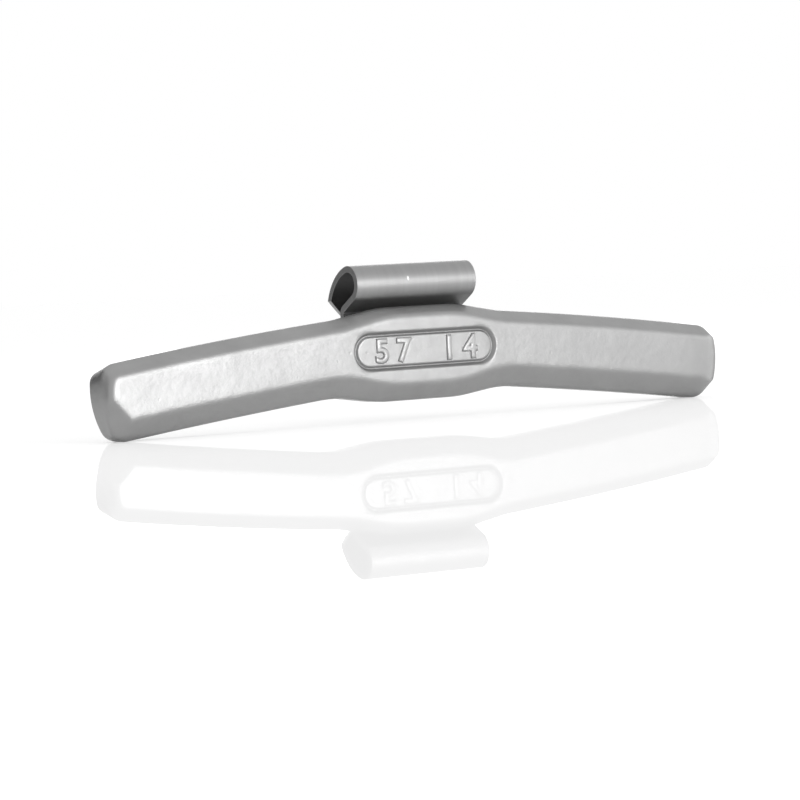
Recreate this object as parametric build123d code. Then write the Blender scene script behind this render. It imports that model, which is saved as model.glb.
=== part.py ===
"""Clip-on wheel balance weight: a cast iron bar with a spring steel clip staked to its back.

Millimetres, +Z up, X along the bar, front face towards -Y. While the pieces are drawn, the front face
lies at Y = 0 and Z = 0 is the middle of the boss, so Y is also the depth behind the front face. At the
end everything moves together, so that the origin is at the bottom centre of the whole.
"""

import os
from dataclasses import dataclass, replace
from math import atan2, cos, degrees, radians, sin, sqrt, tan

from build123d import *

# Bar, seen from the front. The right end reaches out further than the left one by its nose
bar_length = 108.2
right_nose = 1.1
arm_drop = 4.55
arm_root = 15.0
arm_top_bow = 0.28
arm_bottom_bow = 0.17
arm_face_height = 6.7
boss_face_height = 10.4
boss_flat = 12.4
boss_foot = 28.0
boss_crest_round = 22.0
boss_foot_round = 19.0
boss_round_share = 0.44

# Bar, in section: how far each side of the widest outline stands out from the front face
bar_thickness = 6.2
bevel_depth = 2.5
top_bevel = 1.78
bottom_bevel = 3.15
boss_top_bevel = 1.45
boss_bottom_bevel = 2.48
boss_side_bevel = 0.9
end_bevel = 0.15
top_fall = 1.2

# Bar ends, at the front face, at the widest outline and at the back
face_end_bulge = 0.7
face_upper_round = 1.4
face_lower_round = 1.2
wide_end_bulge = 1.05
wide_upper_round = 2.8
wide_lower_round = 2.6
back_upper_round = 1.8

# Flats ground on the front of the ends: the lower corner of the left one, and all across the right one
left_flat_run = 2.7
left_flat_rise = 4.0
left_flat_angle = 44.0
right_flat_run = 2.5
right_flat_angle = 19.0

# Softened edges of the casting
face_edge_round = 0.8
wide_edge_round = 0.8
back_edge_round = 0.4

# Stadium panel on the boss: a floor just below the face, inside a narrow groove
panel_length = 25.5
panel_height = 5.95
panel_depth = 0.28
groove_width = 0.85
groove_depth = 0.6
groove_draft = 38.0
panel_edge_round = 0.18

# Spring clip, bent from one strip
clip_length = 21.3
clip_thickness = 1.0
leg_length = 9.2
leg_corner_cut = 2.0
bend_radius = 1.0
bend_angle = 61.0
ramp_length = 3.14
curl_radius = 2.35
curl_angle = 168.0
leaf_radius = 7.5
leaf_length = 9.4
leaf_corner_cut = 2.4

# Seat of the clip in the back of the boss, and the two studs of the casting that are staked over in its leg
seat_depth = 0.2
seat_clearance = 0.1
leg_rise = 0.34
stud_spacing = 10.6
stud_diameter = 3.4
stud_head_diameter = 5.0
stud_head_depth = 0.7
stud_root = 1.0
stud_clearance = 0.05
punch_mark_diameter = 1.6
punch_mark_depth = 0.4

arm_tilt = atan2(arm_drop, bar_length / 2 - arm_root)
along_arm = Vector(cos(arm_tilt), -sin(arm_tilt))
across_arm = Vector(sin(arm_tilt), cos(arm_tilt))
boss_rear_top = boss_face_height / 2 + boss_top_bevel - top_fall
seat_floor = bar_thickness - seat_depth
leg_middle = seat_floor + clip_thickness / 2
leg_top = boss_rear_top + leg_rise
leg_bottom = leg_top - leg_length
stud_height = leg_top - leg_length / 2
stud_places = (-stud_spacing / 2, stud_spacing / 2)


@dataclass
class Level:
    """The bar's outline at one depth: how far its sides stand out from the face, and its ends."""

    depth: float
    top: float
    bottom: float
    boss_top: float
    boss_bottom: float
    boss_side: float
    end: float
    end_bulge: float
    end_lean: float
    upper_round: float
    lower_round: float


def end_point(level, rise, nose=0):
    """The point of an end's arc this far above the arm's middle line, as length and height."""
    height = arm_face_height + level.top + level.bottom
    radius = height**2 / (8 * level.end_bulge) + level.end_bulge / 2
    lean = arm_tilt - level.end_lean
    reach = sqrt(radius**2 - (rise + radius * sin(lean)) ** 2)
    end = Vector(bar_length / 2 - end_bevel + level.end + nose, -arm_drop)
    return end + along_arm * (reach - radius * cos(lean)) + across_arm * rise


def fitting_round(before, corner, after, radius):
    """The round at a corner, held down to what its share of the shorter side has room for."""
    room = boss_round_share * min((corner - before).length, (after - corner).length)
    turn = radians((corner - before).get_angle(after - corner))
    return min(radius, room / tan(turn / 2))


def bar_outline(level):
    """The bar's whole outline at one level."""
    top = arm_face_height / 2 + level.top
    bottom = arm_face_height / 2 + level.bottom
    flat = boss_flat / 2 + level.boss_side
    foot = boss_foot / 2 + level.boss_side
    foot_height = -tan(arm_tilt) * (foot - arm_root)
    crest = Vector(flat, boss_face_height / 2 + level.boss_top)
    belly = Vector(flat, -boss_face_height / 2 - level.boss_bottom)
    middle_top = Vector(0, crest.Y)
    middle_bottom = Vector(0, belly.Y)
    upper_foot = Vector(foot, foot_height + top / cos(arm_tilt))
    lower_foot = Vector(foot, foot_height - bottom / cos(arm_tilt))
    outline = []
    rounds = []
    for side, nose in ((1, right_nose), (-1, 0)):
        upper_end = end_point(level, top, nose)
        lower_end = end_point(level, -bottom, nose)
        half = Curve() + [
            Line(middle_top, crest),
            Line(crest, upper_foot),
            SagittaArc(upper_foot, upper_end, arm_top_bow),
            ThreePointArc(upper_end, end_point(level, (top - bottom) / 2, nose), lower_end),
            SagittaArc(lower_end, lower_foot, -arm_bottom_bow),
            Line(lower_foot, belly),
            Line(belly, middle_bottom),
        ]
        outline += (half if side > 0 else half.mirror(Plane.YZ)).edges()
        rounds += [
            (side, upper_end, level.upper_round),
            (side, lower_end, level.lower_round),
            (side, crest, fitting_round(middle_top, crest, upper_foot, boss_crest_round)),
            (side, belly, fitting_round(middle_bottom, belly, lower_foot, boss_crest_round)),
            (side, upper_foot, fitting_round(crest, upper_foot, upper_end, boss_foot_round)),
            (side, lower_foot, fitting_round(belly, lower_foot, lower_end, boss_foot_round)),
        ]
    face = make_face(outline).face()
    for side, corner, radius in rounds:
        vertex = face.vertices().sort_by_distance((side * corner.X, corner.Y))[0]
        face = face.fillet_2d(radius, [vertex])
    return Plane.XZ.offset(-level.depth) * face


def ground_off(first, second, angle):
    """What a flat takes off an end: all outside a plane through two face points, passed clockwise."""
    line = Vector(second.X - first.X, 0, second.Y - first.Y).normalized()
    outward = Vector(-line.Z, 0, line.X)
    normal = Vector(0, -cos(radians(angle)), 0) + outward * sin(radians(angle))
    ground = Plane(origin=(first.X, 0, first.Y), x_dir=line, z_dir=normal)
    reach = 4 * bar_thickness
    return ground * Box(reach, reach, reach, align=(Align.CENTER, Align.CENTER, Align.MIN))


def end_flats(face):
    """What the two flats take off the blank."""
    half_height = arm_face_height / 2
    upper = end_point(face, left_flat_rise - half_height)
    lower = end_point(face, -half_height) - along_arm * left_flat_run
    left = ground_off(Vector(-lower.X, lower.Y), Vector(-upper.X, upper.Y), left_flat_angle)
    middle = end_point(face, 0, right_nose) - along_arm * right_flat_run
    right = ground_off(middle + across_arm, middle - across_arm, right_flat_angle)
    return left + right


def bar_blank():
    """The drafted bar with its softened edges, before the panel and the clip's seat are cut."""
    face = Level(0, 0, 0, 0, 0, 0, 0, face_end_bulge, 0, face_upper_round, face_lower_round)
    wide = Level(
        depth=bevel_depth,
        top=top_bevel,
        bottom=bottom_bevel,
        boss_top=boss_top_bevel,
        boss_bottom=boss_bottom_bevel,
        boss_side=boss_side_bevel,
        end=end_bevel,
        end_bulge=wide_end_bulge,
        end_lean=arm_tilt,
        upper_round=wide_upper_round,
        lower_round=wide_lower_round,
    )
    back = replace(
        wide,
        depth=bar_thickness,
        top=top_bevel - top_fall,
        boss_top=boss_top_bevel - top_fall,
        upper_round=back_upper_round,
    )
    blank = loft([bar_outline(level) for level in (face, wide, back)], ruled=True)
    rounds = ((bevel_depth, wide_edge_round), (0, face_edge_round), (bar_thickness, back_edge_round))
    for depth, radius in rounds:
        rim = blank.edges().filter_by_position(Axis.Y, depth, depth)
        blank = fillet(rim, radius)
    return blank - end_flats(face)


def panelled(bar):
    """The bar with what the mould insert leaves on its boss: a lowered floor inside a drafted groove."""
    rim = SlotOverall(panel_length, panel_height)
    island = SlotOverall(panel_length - 2 * groove_width, panel_height - 2 * groove_width)
    pocket = extrude(Plane.XZ * rim, -groove_depth, taper=groove_draft)
    floor = extrude(Plane.XZ.offset(-panel_depth) * island, panel_depth - groove_depth, taper=-groove_draft)
    bar = bar - pocket + floor
    for depth in (0, panel_depth):
        level = bar.edges().filter_by_position(Axis.Y, depth, depth)
        around = level.filter_by_position(Axis.X, -panel_length / 2, panel_length / 2)
        around = around.filter_by_position(Axis.Z, -panel_height / 2, panel_height / 2)
        bar = fillet(around, panel_edge_round)
    return bar


def strip_side(shift):
    """One side of the bent strip, drawn as depth and height, set off by `shift` from its middle line."""
    leg = Line((leg_middle - shift, leg_bottom), (leg_middle - shift, leg_top))
    bend = JernArc(leg @ 1, leg % 1, bend_radius - shift, bend_angle)
    ramp = PolarLine(bend @ 1, ramp_length, direction=bend % 1)
    curl = JernArc(ramp @ 1, ramp % 1, curl_radius + shift, -curl_angle)
    leaf = JernArc(curl @ 1, curl % 1, leaf_radius + shift, -degrees(leaf_length / leaf_radius))
    return [leg, bend, ramp, curl, leaf]


def bent_strip():
    """The spring clip before the holes for the studs are made in its leg."""
    front = strip_side(clip_thickness / 2)
    rear = strip_side(-clip_thickness / 2)
    ends = [Line(front[0] @ 0, rear[0] @ 0), Line(front[-1] @ 1, rear[-1] @ 1)]
    strip = extrude(Plane.YZ * make_face([*front, *rear, *ends]), clip_length / 2, both=True)
    tip = strip_side(0)[-1] @ 1
    cuts = ((tip.X, tip.Y, leaf_corner_cut), (leg_middle, leg_bottom, leg_corner_cut))
    for depth, height, cut in cuts:
        places = [(side * clip_length / 2, depth, height) for side in (-1, 1)]
        corners = [strip.edges().sort_by_distance(place)[0] for place in places]
        strip = chamfer(corners, cut)
    return strip


def studs(clearance):
    """The studs through the clip's leg, their far ends swelled out flush with the back of the leg."""
    radius = stud_diameter / 2 - clearance
    head_radius = stud_head_diameter / 2 - clearance
    on_floor = (Align.CENTER, Align.CENTER, Align.MIN)
    stem = Cylinder(radius, clip_thickness + stud_root, align=on_floor)
    head = Cone(radius, head_radius, stud_head_depth, align=on_floor)
    whole = Pos(0, 0, -stud_root) * stem + Pos(0, 0, clip_thickness - stud_head_depth) * head
    return [Pos(x, seat_floor, stud_height) * Rot(-90, 0, 0) * whole for x in stud_places]


# The seat runs up the back of the boss and out through its top
seat_width = clip_length + 2 * seat_clearance
seat = Box(seat_width, clip_thickness, 2 * leg_length, align=(Align.CENTER, Align.MIN, Align.MIN))
seat = Pos(0, seat_floor, leg_bottom - seat_clearance) * seat

# The marks of the staking punch in the middle of the swelled ends
under_face = (Align.CENTER, Align.CENTER, Align.MAX)
mark = Rot(-90, 0, 0) * Cone(0, punch_mark_diameter / 2, punch_mark_depth, align=under_face)
punch_marks = [Pos(x, seat_floor + clip_thickness, stud_height) * mark for x in stud_places]

cast_weight = panelled(bar_blank()) - seat + studs(stud_clearance) - punch_marks
spring_clip = bent_strip() - studs(0)

whole = cast_weight.bounding_box().add(spring_clip.bounding_box())
to_origin = Pos(-whole.center().X, -whole.center().Y, -whole.min.Z)

os.makedirs("parts", exist_ok=True)
export_step(to_origin * cast_weight, "parts/cast_weight.step")
export_step(to_origin * spring_clip, "parts/spring_clip.step")
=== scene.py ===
"""Looks of a clip-on wheel balance weight: a grey coated casting with a spring steel clip on its back."""

from math import radians

import bpy
from mathutils import Euler, Matrix, Vector


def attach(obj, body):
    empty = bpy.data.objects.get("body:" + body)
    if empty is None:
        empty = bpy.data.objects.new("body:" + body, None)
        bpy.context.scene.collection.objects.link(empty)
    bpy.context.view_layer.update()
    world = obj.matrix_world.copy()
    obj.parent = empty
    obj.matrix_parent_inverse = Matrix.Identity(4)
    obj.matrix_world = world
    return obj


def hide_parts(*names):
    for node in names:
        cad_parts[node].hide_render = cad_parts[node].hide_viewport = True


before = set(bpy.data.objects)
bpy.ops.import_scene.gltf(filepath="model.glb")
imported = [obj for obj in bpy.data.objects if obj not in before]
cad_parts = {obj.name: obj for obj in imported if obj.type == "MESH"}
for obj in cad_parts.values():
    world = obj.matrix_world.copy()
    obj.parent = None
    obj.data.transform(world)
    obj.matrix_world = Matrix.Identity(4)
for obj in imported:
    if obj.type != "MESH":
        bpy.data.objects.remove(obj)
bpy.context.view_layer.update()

MM = 0.001

# Middle of the boss's front face
BOSS_MIDDLE = Vector((-0.55, -5.435, 10.634)) * MM

# Camera, as the photograph was taken: from the front left, almost level, with a long lens
VIEW_YAW = 32.0
VIEW_DOWN = 2.117
VIEW_ROLL = -3.0
VIEW_DISTANCE = 537.15 * MM
AIM_POINT = BOSS_MIDDLE + Vector((-3.858, 2.082, -7.535)) * MM
LENS = 159.9

# Panel on the boss, with the half length and half height of an oval round it
PANEL_DEPTH = 0.28 * MM
PANEL_OVAL = (13.6 * MM, 4.0 * MM)

# Plain numbers cast in the panel: grams on the left, the mould's cavity on the right
NUMBER_HEIGHT = 3.9 * MM
NUMBER_FONT_SIZE = 1.3 * NUMBER_HEIGHT
NUMBER_RISE = 0.25 * MM
NUMBER_FLANK = 0.34 * MM
NUMBERS = (("57", -5.8 * MM), ("14", 6.2 * MM))

# Axis of the clip's curl, and a small chip on its front, with a painted glint on it
CURL_AXIS = Vector((0, -1.057, 20.876)) * MM
CHIP_AND_GLINT = Vector((-2.15, -3.86, 21.42)) * MM

# Soft box in front, the point of the floor below it, and the way it faces
SOFTBOX = Vector((0.12, -0.6, 0.09))
SOFTBOX_SIZE = (0.26, 0.17)
SOFTBOX_WATTS = 1.95
SOFTBOX_FOOT = Vector((SOFTBOX.x, SOFTBOX.y, 0))
SOFTBOX_FACING = -SOFTBOX_FOOT.normalized()

# Dark card at the back left
FLAG = Vector((-0.33, 0.46, 0.2))
FLAG_SIZE = 0.5
FLAG_TURN = 35.0

# Radius of the board, and how strongly the white room lights what stands in it
FLOOR_RADIUS = 4.0
ROOM_LIGHT = 0.65


def linear(hex_colour):
    """An sRGB hex colour as linear red, green and blue with full alpha."""
    channels = [int(hex_colour[i : i + 2], 16) / 255 for i in (1, 3, 5)]
    return [c / 12.92 if c <= 0.04045 else ((c + 0.055) / 1.055) ** 2.4 for c in channels] + [1.0]


def add_node(tree, kind, inputs=None, **settings):
    """Add one node with its settings, and fill its inputs with values or with other nodes' outputs."""
    node = tree.nodes.new(kind)
    for name, value in settings.items():
        setattr(node, name, value)
    for socket, value in (inputs or {}).items():
        if isinstance(value, bpy.types.NodeSocket):
            tree.links.new(value, node.inputs[socket])
        else:
            node.inputs[socket].default_value = value
    return node


def new_material(name):
    """An empty node material with only its output."""
    material = bpy.data.materials.new(name)
    material.use_nodes = True
    tree = material.node_tree
    tree.nodes.clear()
    return material, tree, tree.nodes.new("ShaderNodeOutputMaterial")


def seen_or_mirrored(tree):
    """1 for rays from the camera, in a mirror or through glass, and 0 for rays that gather light."""
    path = add_node(tree, "ShaderNodeLightPath")
    eye = add_node(
        tree,
        "ShaderNodeMath",
        {0: path.outputs["Is Camera Ray"], 1: path.outputs["Is Glossy Ray"]},
        operation="MAXIMUM",
    )
    eye = add_node(
        tree,
        "ShaderNodeMath",
        {0: eye.outputs["Value"], 1: path.outputs["Is Transmission Ray"]},
        operation="MAXIMUM",
    )
    return eye.outputs["Value"]


def coated_cast_iron():
    """Cast iron, shot blasted and dipped in a baked silver-grey coat.

    It is satin and slightly cloudy, and its skin is finely uneven with a few pits. Grooves and other
    recesses are painted darker, as painted shade. It softens the casting's edges, and the marks in the
    panel less.
    """
    material, tree, output = new_material("coated_cast_iron")
    place = add_node(tree, "ShaderNodeTexCoord").outputs["Object"]
    cloud_size = 5.0 * MM
    skin_size = 1.4 * MM
    skin_depth = 0.08 * MM
    pit_spacing = 2.2 * MM
    pit_depth = 0.06 * MM
    recess_shade_reach = 1.2 * MM
    mark_round = 0.32 * MM
    edge_round = 1.3 * MM
    clouds = add_node(
        tree,
        "ShaderNodeTexNoise",
        {"Vector": place, "Scale": 1 / cloud_size, "Detail": 4.0, "Roughness": 0.6},
    )
    skin = add_node(
        tree,
        "ShaderNodeTexNoise",
        {"Vector": place, "Scale": 1 / skin_size, "Detail": 3.0, "Roughness": 0.55},
    )
    pits = add_node(tree, "ShaderNodeTexVoronoi", {"Vector": place, "Scale": 1 / pit_spacing})
    cloudy = add_node(
        tree,
        "ShaderNodeMapRange",
        {"Value": clouds.outputs["Fac"], "From Min": 0.3, "From Max": 0.7},
    )
    coat = add_node(
        tree,
        "ShaderNodeMix",
        {"Factor": cloudy.outputs["Result"], 6: linear("#949494"), 7: linear("#9b9b9b")},
        data_type="RGBA",
    )
    # Painted shade: recesses such as the panel's groove are painted darker, as the shade that falls in
    # them.
    recess_occlusion = add_node(tree, "ShaderNodeAmbientOcclusion", {"Distance": recess_shade_reach}, samples=8)
    unshaded_share = add_node(
        tree, "ShaderNodeMapRange", {"Value": recess_occlusion.outputs["AO"], "From Min": 0.4, "From Max": 0.9}
    )
    painted_recess_shade = add_node(
        tree,
        "ShaderNodeMix",
        {"Factor": unshaded_share.outputs["Result"], 6: linear("#888888"), 7: coat.outputs[2]},
        data_type="RGBA",
    )
    satin = add_node(
        tree,
        "ShaderNodeMapRange",
        {"Value": clouds.outputs["Fac"], "From Min": 0.3, "From Max": 0.7, "To Min": 0.45, "To Max": 0.41},
    )
    pit = add_node(
        tree, "ShaderNodeMapRange", {"Value": pits.outputs["Distance"], "From Min": 0.05, "From Max": 0.12}
    )
    from_panel = add_node(tree, "ShaderNodeVectorMath", {0: place, 1: BOSS_MIDDLE}, operation="SUBTRACT")
    in_ovals = add_node(
        tree,
        "ShaderNodeVectorMath",
        {0: from_panel.outputs["Vector"], 1: (1 / PANEL_OVAL[0], 0, 1 / PANEL_OVAL[1])},
        operation="MULTIPLY",
    )
    to_panel = add_node(tree, "ShaderNodeVectorMath", {0: in_ovals.outputs["Vector"]}, operation="LENGTH")
    coat_round = add_node(
        tree,
        "ShaderNodeMapRange",
        {
            "Value": to_panel.outputs["Value"],
            "From Min": 1.0,
            "From Max": 1.15,
            "To Min": mark_round,
            "To Max": edge_round,
        },
    )
    rounded = add_node(tree, "ShaderNodeBevel", {"Radius": coat_round.outputs["Result"]}, samples=8)
    pitted = add_node(
        tree,
        "ShaderNodeBump",
        {
            "Strength": 0.2,
            "Distance": pit_depth,
            "Height": pit.outputs["Result"],
            "Normal": rounded.outputs["Normal"],
        },
    )
    uneven = add_node(
        tree,
        "ShaderNodeBump",
        {
            "Strength": 0.5,
            "Distance": skin_depth,
            "Height": skin.outputs["Fac"],
            "Normal": pitted.outputs["Normal"],
        },
    )
    shader = add_node(
        tree,
        "ShaderNodeBsdfPrincipled",
        {
            "Base Color": painted_recess_shade.outputs[2],
            "Metallic": 0.9,
            "Roughness": satin.outputs["Result"],
            "Normal": uneven.outputs["Normal"],
        },
    )
    tree.links.new(shader.outputs["BSDF"], output.inputs["Surface"])
    return material


def coated_spring_steel():
    """Cold rolled spring steel strip with the same coat, thinner.

    It is smoother than the casting, with faint rolling lines round the curl and one small chip painted
    bright as its glint. Corners and hollows are painted darker as shade, and so are the inside of the curl
    and the sheared edges.
    Real rolling lines are finer, and are drawn this coarse to show.
    """
    material, tree, output = new_material("coated_spring_steel")
    place = add_node(tree, "ShaderNodeTexCoord").outputs["Object"]
    line_pitch = 0.9 * MM
    line_length = 30.0 * MM
    line_depth = 0.02 * MM
    corner_shade_reach = 5.0 * MM
    inside_from = 0.3 * MM
    inside_wholly = 0.6 * MM
    chip_core = 0.15 * MM
    chip_rim = 0.4 * MM
    chip_width_share = 0.5
    chip_depth = 0.1 * MM
    stretch = add_node(
        tree,
        "ShaderNodeMapping",
        {"Vector": place, "Scale": (1 / line_pitch, 1 / line_length, 1 / line_length)},
    )
    lines = add_node(
        tree, "ShaderNodeTexNoise", {"Vector": stretch.outputs["Vector"], "Scale": 1.0, "Detail": 2.0}
    )
    streaks = add_node(
        tree, "ShaderNodeMapRange", {"Value": lines.outputs["Fac"], "From Min": 0.3, "From Max": 0.7}
    )
    coat = add_node(
        tree,
        "ShaderNodeMix",
        {"Factor": streaks.outputs["Result"], 6: linear("#929292"), 7: linear("#979797")},
        data_type="RGBA",
    )
    # Painted shade: corners and hollows within reach, such as the underside near the bar, are painted
    # darker.
    corner_occlusion = add_node(tree, "ShaderNodeAmbientOcclusion", {"Distance": corner_shade_reach}, samples=8)
    unshaded_share = add_node(
        tree, "ShaderNodeMapRange", {"Value": corner_occlusion.outputs["AO"], "From Min": 0.25, "From Max": 0.85}
    )
    painted_corner_shade = add_node(
        tree,
        "ShaderNodeMix",
        {"Factor": unshaded_share.outputs["Result"], 6: linear("#8e8e8e"), 7: coat.outputs[2]},
        data_type="RGBA",
    )
    from_axis = add_node(tree, "ShaderNodeVectorMath", {0: place, 1: CURL_AXIS}, operation="SUBTRACT")
    round_axis = add_node(
        tree, "ShaderNodeVectorMath", {0: from_axis.outputs["Vector"], 1: (0, 1, 1)}, operation="MULTIPLY"
    )
    facing = add_node(tree, "ShaderNodeNewGeometry").outputs["Normal"]
    outward = add_node(
        tree, "ShaderNodeVectorMath", {0: round_axis.outputs["Vector"], 1: facing}, operation="DOT_PRODUCT"
    )
    inside = add_node(
        tree,
        "ShaderNodeMapRange",
        {
            "Value": outward.outputs["Value"],
            "From Min": -inside_wholly,
            "From Max": -inside_from,
            "To Min": 1.0,
            "To Max": 0.0,
        },
    )
    # Painted shade: the inside of the curl is painted dark.
    painted_shade_inside = add_node(
        tree,
        "ShaderNodeMix",
        {"Factor": inside.outputs["Result"], 6: painted_corner_shade.outputs[2], 7: linear("#454545")},
        data_type="RGBA",
    )
    # Painted shade: the sheared edges, which face along the curl, are painted darker.
    along = add_node(tree, "ShaderNodeVectorMath", {0: facing, 1: (1, 0, 0)}, operation="DOT_PRODUCT")
    sideways = add_node(tree, "ShaderNodeMath", {0: along.outputs["Value"]}, operation="ABSOLUTE")
    sheared = add_node(
        tree, "ShaderNodeMapRange", {"Value": sideways.outputs["Value"], "From Min": 0.7, "From Max": 0.95}
    )
    painted_shade_edges = add_node(
        tree,
        "ShaderNodeMix",
        {"Factor": sheared.outputs["Result"], 6: painted_shade_inside.outputs[2], 7: linear("#808080")},
        data_type="RGBA",
    )
    from_chip = add_node(tree, "ShaderNodeVectorMath", {0: place, 1: CHIP_AND_GLINT}, operation="SUBTRACT")
    across_chip = add_node(
        tree,
        "ShaderNodeVectorMath",
        {0: from_chip.outputs["Vector"], 1: (1 / chip_width_share, 1, 1)},
        operation="MULTIPLY",
    )
    to_chip = add_node(tree, "ShaderNodeVectorMath", {0: across_chip.outputs["Vector"]}, operation="LENGTH")
    chip_and_glint_mask = add_node(
        tree,
        "ShaderNodeMapRange",
        {
            "Value": to_chip.outputs["Value"],
            "From Min": chip_core,
            "From Max": chip_rim,
            "To Min": 1.0,
            "To Max": 0.0,
        },
    )
    # Painted highlight: the chip is painted bright as its glint; the bump below dents it.
    chip_painted_bright = add_node(
        tree,
        "ShaderNodeMix",
        {"Factor": chip_and_glint_mask.outputs["Result"], 6: painted_shade_edges.outputs[2], 7: linear("#d8d8d8")},
        data_type="RGBA",
    )
    dented = add_node(
        tree,
        "ShaderNodeBump",
        {"Strength": 0.3, "Distance": chip_depth, "Height": chip_and_glint_mask.outputs["Result"]},
        invert=True,
    )
    rolled = add_node(
        tree,
        "ShaderNodeBump",
        {
            "Strength": 0.06,
            "Distance": line_depth,
            "Height": lines.outputs["Fac"],
            "Normal": dented.outputs["Normal"],
        },
    )
    shader = add_node(
        tree,
        "ShaderNodeBsdfPrincipled",
        {
            "Base Color": chip_painted_bright.outputs[2],
            "Metallic": 0.9,
            "Roughness": 0.46,
            "Normal": rolled.outputs["Normal"],
        },
    )
    tree.links.new(shader.outputs["BSDF"], output.inputs["Surface"])
    return material


def glossy_white_board():
    """White acrylic board, evenly white: it glows where the soft box lights it less.

    The box's light on it goes as the distance ahead of the box over the fourth power of the distance
    from it. The board keeps soft shadows, and mirrors what stands on it faintly.
    """
    material, tree, output = new_material("glossy_white_board")
    unlit_glow = 0.42
    light_per_watt = 0.005
    mirror_share = 0.22
    matt = add_node(tree, "ShaderNodeBsdfDiffuse", {"Color": linear("#f2f2f2")})
    place = add_node(tree, "ShaderNodeTexCoord").outputs["Object"]
    from_foot = add_node(tree, "ShaderNodeVectorMath", {0: place, 1: SOFTBOX_FOOT}, operation="SUBTRACT")
    far = add_node(tree, "ShaderNodeVectorMath", {0: from_foot.outputs["Vector"]}, operation="LENGTH")
    fall_off = add_node(tree, "ShaderNodeMath", {0: far.outputs["Value"], 1: -4.0}, operation="POWER")
    ahead = add_node(
        tree,
        "ShaderNodeVectorMath",
        {0: from_foot.outputs["Vector"], 1: SOFTBOX_FACING},
        operation="DOT_PRODUCT",
    )
    in_front = add_node(tree, "ShaderNodeMath", {0: ahead.outputs["Value"], 1: 0.0}, operation="MAXIMUM")
    lit = add_node(
        tree,
        "ShaderNodeMath",
        {0: in_front.outputs["Value"], 1: fall_off.outputs["Value"]},
        operation="MULTIPLY",
    )
    even = add_node(
        tree,
        "ShaderNodeMath",
        {0: lit.outputs["Value"], 1: -light_per_watt * SOFTBOX_WATTS, 2: unlit_glow},
        operation="MULTIPLY_ADD",
        use_clamp=True,
    )
    glow = add_node(tree, "ShaderNodeEmission", {"Strength": even.outputs["Value"]})
    glow_seen = add_node(
        tree, "ShaderNodeMixShader", {0: seen_or_mirrored(tree), 2: glow.outputs["Emission"]}
    )
    body = add_node(tree, "ShaderNodeAddShader", {0: matt.outputs["BSDF"], 1: glow_seen.outputs["Shader"]})
    mirror = add_node(tree, "ShaderNodeBsdfGlossy", {"Color": linear("#ffffff"), "Roughness": 0.0})
    whole = add_node(
        tree, "ShaderNodeMixShader", {0: mirror_share, 1: body.outputs["Shader"], 2: mirror.outputs["BSDF"]}
    )
    tree.links.new(whole.outputs["Shader"], output.inputs["Surface"])
    return material


def select_only(piece):
    """Make one object the only selected one, and the active one."""
    bpy.ops.object.select_all(action="DESELECT")
    piece.select_set(True)
    bpy.context.view_layer.objects.active = piece


def place_piece(piece, slot, material, *nodes):
    """Give a finished piece its material and its body, and hide the CAD nodes that it stands for. Its slot
    is not used.
    """
    piece.data.materials.clear()
    piece.data.materials.append(material)
    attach(piece, "root")
    if nodes:
        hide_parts(*nodes)


def joined_copy(node, name):
    """A copy of a CAD node's mesh with its loose triangles joined."""
    piece = bpy.data.objects.new(name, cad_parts[node].data.copy())
    bpy.context.scene.collection.objects.link(piece)
    select_only(piece)
    bpy.ops.mesh.customdata_custom_splitnormals_clear()
    bpy.ops.object.mode_set(mode="EDIT")
    bpy.ops.mesh.select_all(action="SELECT")
    bpy.ops.mesh.remove_doubles(threshold=0.0005 * MM)
    bpy.ops.object.mode_set(mode="OBJECT")
    return piece


def shade_rounds(piece, sharp_angle):
    """Shade rounds smooth, keep edges sharper than this angle, and let the large faces lead the normals."""
    select_only(piece)
    bpy.ops.object.shade_smooth_by_angle(angle=radians(sharp_angle))
    bpy.ops.object.modifier_add(type="WEIGHTED_NORMAL")
    piece.modifiers[-1].keep_sharp = True
    bpy.ops.object.modifier_apply(modifier=piece.modifiers[-1].name)


def make_casting(material):
    """The cast bar, with its rounds shaded smooth."""
    casting = joined_copy("cast_weight", "casting")
    shade_rounds(casting, sharp_angle=30)
    place_piece(casting, "coated_iron", material, "cast_weight")


def make_clip(material):
    """The clip, with the sheared edges of its strip broken as a tumbled pressing has them."""
    edge_break = 0.13 * MM
    clip = joined_copy("spring_clip", "clip")
    bpy.ops.object.mode_set(mode="EDIT")
    bpy.ops.mesh.select_all(action="SELECT")
    bpy.ops.mesh.dissolve_limited(angle_limit=radians(0.5))
    bpy.ops.object.mode_set(mode="OBJECT")
    bpy.ops.object.modifier_add(type="BEVEL")
    bevel = clip.modifiers[-1]
    bevel.width = edge_break
    bevel.segments = 3
    bevel.limit_method = "ANGLE"
    bevel.angle_limit = radians(40)
    bpy.ops.object.modifier_apply(modifier=bevel.name)
    shade_rounds(clip, sharp_angle=35)
    place_piece(clip, "spring_steel", material, "spring_clip")


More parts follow.
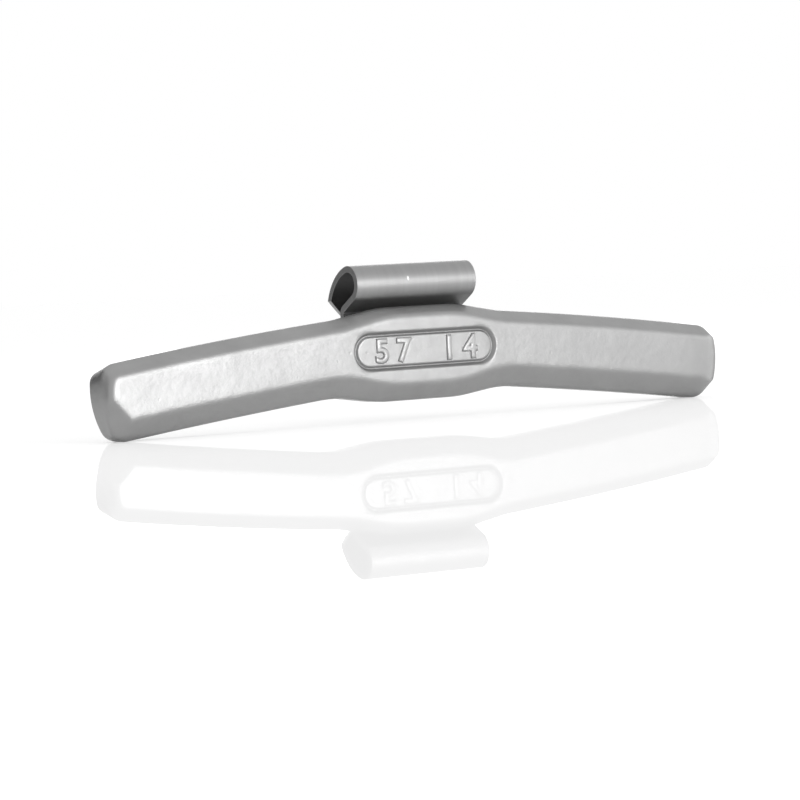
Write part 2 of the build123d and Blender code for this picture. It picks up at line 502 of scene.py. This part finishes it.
def make_number(body, along, material):
    """One plain number, raised on the panel's floor with the rounded edges of a cast mark."""
    bpy.ops.object.select_all(action="DESELECT")
    bpy.ops.object.text_add()
    mark = bpy.context.object
    mark.name = "number_" + body
    text = mark.data
    text.body = body
    text.size = NUMBER_FONT_SIZE
    text.align_x = "CENTER"
    text.space_character = 1.5
    text.offset = -NUMBER_FLANK / 3
    text.bevel_depth = NUMBER_FLANK
    text.bevel_resolution = 4
    bpy.ops.object.convert(target="MESH")
    mark = bpy.context.object
    low = min(v.co.y for v in mark.data.vertices)
    high = max(v.co.y for v in mark.data.vertices)
    mark.scale = (1, NUMBER_HEIGHT / (high - low), NUMBER_RISE / NUMBER_FLANK)
    mark.rotation_euler = (radians(90), 0, 0)
    mark.location = BOSS_MIDDLE + Vector((along, PANEL_DEPTH, 0))
    mark.location.z -= (low + high) / 2 * mark.scale.y
    bpy.ops.object.transform_apply(location=True, rotation=True, scale=True)
    bpy.ops.object.mode_set(mode="EDIT")
    bpy.ops.mesh.select_all(action="SELECT")
    bpy.ops.mesh.remove_doubles(threshold=0.001 * MM)
    bpy.ops.object.mode_set(mode="OBJECT")
    shade_rounds(mark, sharp_angle=40)
    place_piece(mark, "coated_iron", material)


def add_floor():
    """The board that the weight stands on."""
    bpy.ops.object.select_all(action="DESELECT")
    bpy.ops.mesh.primitive_circle_add(vertices=96, radius=FLOOR_RADIUS, fill_type="NGON")
    floor = bpy.context.object
    floor.name = "floor"
    floor.data.materials.append(glossy_white_board())


def add_flag():
    """A dark card at the back left, which shades the left ends as in the photograph.

    Only the satin metal shows it: the camera and the board's clear mirror look through it.
    """
    bpy.ops.object.select_all(action="DESELECT")
    upright = (radians(90), 0, radians(FLAG_TURN))
    bpy.ops.mesh.primitive_plane_add(size=FLAG_SIZE, location=FLAG, rotation=upright)
    flag = bpy.context.object
    flag.name = "flag"
    bpy.ops.object.transform_apply(location=True, rotation=True, scale=True)
    flag.visible_camera = False
    flag.visible_diffuse = False
    flag.visible_shadow = False
    card, tree, output = new_material("dark_card")
    matt = add_node(tree, "ShaderNodeBsdfDiffuse", {"Color": linear("#303030")})
    clear = add_node(tree, "ShaderNodeBsdfTransparent")
    path = add_node(tree, "ShaderNodeLightPath")
    satin_only = add_node(
        tree,
        "ShaderNodeMixShader",
        {0: path.outputs["Is Singular Ray"], 1: matt.outputs["BSDF"], 2: clear.outputs["BSDF"]},
    )
    tree.links.new(satin_only.outputs["Shader"], output.inputs["Surface"])
    flag.data.materials.append(card)


def add_lamp(name, place, target, size, watts):
    """A rectangular soft box that faces its target."""
    light = bpy.data.lights.new(name, "AREA")
    light.shape = "RECTANGLE"
    light.size, light.size_y = size
    light.energy = watts
    lamp = bpy.data.objects.new(name, light)
    lamp.location = place
    lamp.rotation_euler = (Vector(target) - Vector(place)).to_track_quat("-Z", "Y").to_euler()
    bpy.context.scene.collection.objects.link(lamp)


def add_room_light():
    """An even white room: white where it is seen or mirrored, softer where it lights."""
    world = bpy.data.worlds.new("white_room")
    world.use_nodes = True
    tree = world.node_tree
    tree.nodes.clear()
    strength = add_node(
        tree, "ShaderNodeMapRange", {"Value": seen_or_mirrored(tree), "To Min": ROOM_LIGHT, "To Max": 1.0}
    )
    room = add_node(
        tree, "ShaderNodeBackground", {"Color": linear("#ffffff"), "Strength": strength.outputs["Result"]}
    )
    output = tree.nodes.new("ShaderNodeOutputWorld")
    tree.links.new(room.outputs["Background"], output.inputs["Surface"])
    bpy.context.scene.world = world


def add_camera():
    """The camera at the photograph's place, with its slight roll."""
    turn = Euler((radians(90 - VIEW_DOWN), 0, radians(-VIEW_YAW))).to_matrix()
    turn = turn @ Matrix.Rotation(radians(VIEW_ROLL), 3, "Z")
    data = bpy.data.cameras.new("photo_camera")
    data.sensor_width = 36.0
    data.lens = LENS
    data.clip_start = 0.01
    camera = bpy.data.objects.new("photo_camera", data)
    camera.location = AIM_POINT + turn @ Vector((0, 0, VIEW_DISTANCE))
    camera.rotation_euler = turn.to_euler()
    bpy.context.scene.collection.objects.link(camera)
    bpy.context.scene.camera = camera


iron = coated_cast_iron()
make_casting(iron)
make_clip(coated_spring_steel())
for body, along in NUMBERS:
    make_number(body, along, iron)

add_floor()
add_flag()
add_room_light()
add_lamp("front_softbox", SOFTBOX, target=(0, 0, 0.02), size=SOFTBOX_SIZE, watts=SOFTBOX_WATTS)
add_lamp("right_softbox", (0.55, -0.2, 0.13), target=(0.03, 0, 0.01), size=(0.3, 0.22), watts=0.5)
add_lamp("back_softbox", (0.3, 0.55, 0.16), target=(0, 0, 0.01), size=(0.4, 0.25), watts=0.9)
add_camera()
bpy.context.scene.view_settings.view_transform = "Standard"
